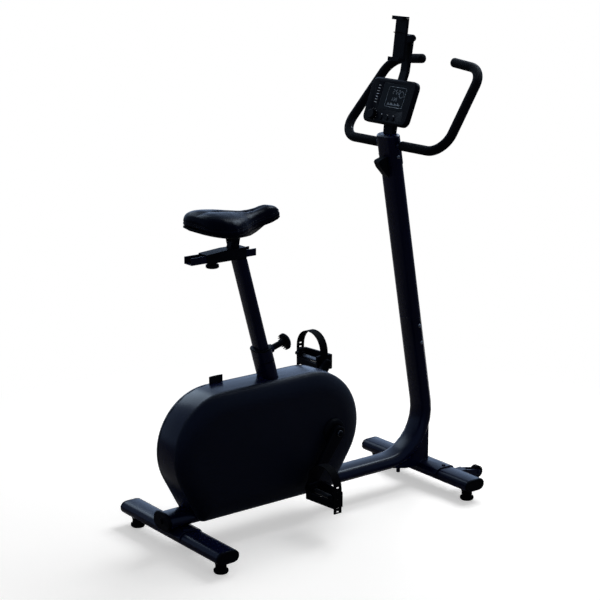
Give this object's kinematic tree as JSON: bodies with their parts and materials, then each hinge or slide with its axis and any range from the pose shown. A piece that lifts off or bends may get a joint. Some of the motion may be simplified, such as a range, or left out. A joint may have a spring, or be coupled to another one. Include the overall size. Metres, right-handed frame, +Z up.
{
  "type": "exercise bike",
  "caption": "Upright exercise bike with a closed flywheel housing, a sliding saddle on a telescopic post, a looped handlebar, a console and a tablet holder.",
  "frame": {"origin": "on the floor, at the middle of the bike's length and width", "axes": "+X the way the rider faces, +Y to the rider's left, +Z up"},
  "size_m": [1.0974, 0.498, 1.4505],
  "materials": {
    "painted_steel": "satin",
    "bare_steel": "satin",
    "cast_iron": "matte",
    "satin_plastic": "satin",
    "black_plastic": "matte",
    "rubber": "matte",
    "foam": "matte",
    "vinyl": "satin",
    "display": "gloss"
  },
  "bodies": {
    "frame": {"main_frame": "painted_steel", "front_mount": "painted_steel", "beam_end_cap": "black_plastic", "rear_stabilizer": "painted_steel", "front_stabilizer": "painted_steel", "rear_stabilizer_cap_left": "black_plastic", "rear_stabilizer_cap_right": "black_plastic", "front_stabilizer_cap_left": "black_plastic", "front_stabilizer_cap_right": "black_plastic", "wheel_bracket_left": "painted_steel", "wheel_bracket_right": "painted_steel", "upper_mast": "painted_steel", "seat_tube": "painted_steel", "seat_bushing": "black_plastic", "housing_band": "satin_plastic", "housing_shell_left": "black_plastic", "housing_shell_right": "black_plastic", "hub_cover_left": "satin_plastic", "hub_cover_right": "satin_plastic", "crank_bearing": "bare_steel", "drive_belt": "rubber", "flywheel_bracket": "painted_steel", "bar_clamp": "satin_plastic", "console_bracket": "black_plastic", "console_housing": "black_plastic", "console_lens": "display", "holder_arm": "black_plastic"},
    "rear_foot_left": {"rear_foot_left": "rubber"},
    "rear_foot_right": {"rear_foot_right": "rubber"},
    "front_foot_left": {"front_foot_left": "rubber"},
    "front_foot_right": {"front_foot_right": "rubber"},
    "transport_wheel_left": {"transport_wheel_left": "rubber"},
    "transport_wheel_right": {"transport_wheel_right": "rubber"},
    "flywheel": {"flywheel": "cast_iron"},
    "crank": {"crank_axle": "bare_steel", "drive_pulley": "black_plastic", "crank_arm_left": "painted_steel", "crank_arm_right": "painted_steel"},
    "pedal_left": {"pedal_left": "black_plastic", "pedal_strap_left": "rubber"},
    "pedal_right": {"pedal_right": "black_plastic", "pedal_strap_right": "rubber"},
    "magnet_shoe": {"magnet_shoe": "bare_steel"},
    "seat_post": {"seat_post": "painted_steel", "seat_rail": "painted_steel"},
    "seat_post_knob": {"seat_post_knob": "black_plastic"},
    "seat_slider": {"seat_slider": "black_plastic"},
    "seat_slider_knob": {"seat_slider_knob": "black_plastic"},
    "saddle": {"saddle_base": "black_plastic", "saddle_pad": "vinyl"},
    "handlebar": {"handlebar": "painted_steel", "handlebar_grip_left": "foam", "handlebar_grip_right": "foam"},
    "clamp_lever": {"clamp_lever": "black_plastic"},
    "console_dial": {"console_dial": "satin_plastic"},
    "console_key_left": {"console_key_left": "satin_plastic"},
    "console_key_middle": {"console_key_middle": "satin_plastic"},
    "console_key_right": {"console_key_right": "satin_plastic"},
    "holder_plate": {"holder_plate": "black_plastic"},
    "holder_jaw": {"holder_jaw": "black_plastic"}
  },
  "joints": [
    {"name": "rear_foot_left_turn", "type": "hinge", "parent": "frame", "child": "rear_foot_left", "pos_m": [-0.48835, 0.212, 0.02], "axis": [0, 0, 1], "range_deg": [-180, 180]},
    {"name": "rear_foot_right_turn", "type": "hinge", "parent": "frame", "child": "rear_foot_right", "pos_m": [-0.48835, -0.212, 0.02], "axis": [0, 0, 1], "range_deg": [-180, 180]},
    {"name": "front_foot_left_turn", "type": "hinge", "parent": "frame", "child": "front_foot_left", "pos_m": [0.42465, 0.212, 0.02], "axis": [0, 0, 1], "range_deg": [-180, 180]},
    {"name": "front_foot_right_turn", "type": "hinge", "parent": "frame", "child": "front_foot_right", "pos_m": [0.42465, -0.212, 0.02], "axis": [0, 0, 1], "range_deg": [-180, 180]},
    {"name": "transport_wheel_left_spin", "type": "hinge", "parent": "frame", "child": "transport_wheel_left", "pos_m": [0.52965, 0.14, 0.0463], "axis": [0, 1, 0], "continuous": true},
    {"name": "transport_wheel_right_spin", "type": "hinge", "parent": "frame", "child": "transport_wheel_right", "pos_m": [0.52965, -0.14, 0.0463], "axis": [0, 1, 0], "continuous": true},
    {"name": "flywheel_spin", "type": "hinge", "parent": "frame", "child": "flywheel", "pos_m": [-0.35135, 0, 0.2775], "axis": [0, 1, 0], "continuous": true},
    {"name": "crank_spin", "type": "hinge", "parent": "frame", "child": "crank", "pos_m": [0.01465, 0, 0.266], "axis": [0, 1, 0], "continuous": true},
    {"name": "pedal_left_spin", "type": "hinge", "parent": "crank", "child": "pedal_left", "pos_m": [0.11947, 0.165, 0.41295], "axis": [0, 1, 0], "continuous": true},
    {"name": "pedal_right_spin", "type": "hinge", "parent": "crank", "child": "pedal_right", "pos_m": [-0.09017, -0.165, 0.11905], "axis": [0, 1, 0], "continuous": true},
    {"name": "magnet_lift", "type": "hinge", "parent": "frame", "child": "magnet_shoe", "pos_m": [-0.2736, 0, 0.41217], "axis": [0, 1, 0], "range_deg": [0, 5]},
    {"name": "seat_post_slide", "type": "slide", "parent": "frame", "child": "seat_post", "axis": [-0.2622, 0, 0.965], "range_m": [-0.1, 0.075]},
    {"name": "seat_post_knob_pull", "type": "slide", "parent": "frame", "child": "seat_post_knob", "axis": [0.965, 0, 0.2622], "range_m": [0, 0.012], "stiffness_N_per_m": 900},
    {"name": "seat_slide", "type": "slide", "parent": "seat_post", "child": "seat_slider", "axis": [1, 0, 0], "range_m": [-0.05, 0.04]},
    {"name": "seat_slider_knob_turn", "type": "hinge", "parent": "seat_slider", "child": "seat_slider_knob", "pos_m": [-0.35835, 0, 0.80618], "axis": [0, 0, -1], "range_deg": [0, 360]},
    {"name": "saddle_tilt", "type": "hinge", "parent": "seat_slider", "child": "saddle", "pos_m": [-0.28835, 0, 0.85848], "axis": [0, 1, 0], "range_deg": [-8, 8]},
    {"name": "handlebar_tilt", "type": "hinge", "parent": "frame", "child": "handlebar", "pos_m": [0.28016, 0, 1.07954], "axis": [0, 1, 0], "range_deg": [-15, 20]},
    {"name": "clamp_lever_turn", "type": "hinge", "parent": "frame", "child": "clamp_lever", "pos_m": [0.2841, 0, 1.03556], "axis": [0.9854, 0, 0.1702], "range_deg": [-180, 180]},
    {"name": "console_dial_turn", "type": "hinge", "parent": "frame", "child": "console_dial", "pos_m": [0.25648, 0.055, 1.16253], "axis": [0.9311, 0, -0.3649], "range_deg": [-135, 135]},
    {"name": "console_key_left_press", "type": "slide", "parent": "frame", "child": "console_key_left", "axis": [0.9311, 0, -0.3649], "range_m": [0, 0.0015], "stiffness_N_per_m": 600},
    {"name": "console_key_middle_press", "type": "slide", "parent": "frame", "child": "console_key_middle", "axis": [0.9311, 0, -0.3649], "range_m": [0, 0.0015], "stiffness_N_per_m": 600},
    {"name": "console_key_right_press", "type": "slide", "parent": "frame", "child": "console_key_right", "axis": [0.9311, 0, -0.3649], "range_m": [0, 0.0015], "stiffness_N_per_m": 600},
    {"name": "holder_tilt", "type": "hinge", "parent": "frame", "child": "holder_plate", "pos_m": [0.34945, 0, 1.38405], "axis": [0, 1, 0], "range_deg": [-15, 20]},
    {"name": "holder_jaw_slide", "type": "slide", "parent": "holder_plate", "child": "holder_jaw", "axis": [0.1219, 0, 0.9925], "range_m": [0, 0.035], "stiffness_N_per_m": 120}
  ],
  "couplings": [
    {"joint": "crank_spin", "follows": "flywheel_spin", "ratio": 0.25}
  ]
}
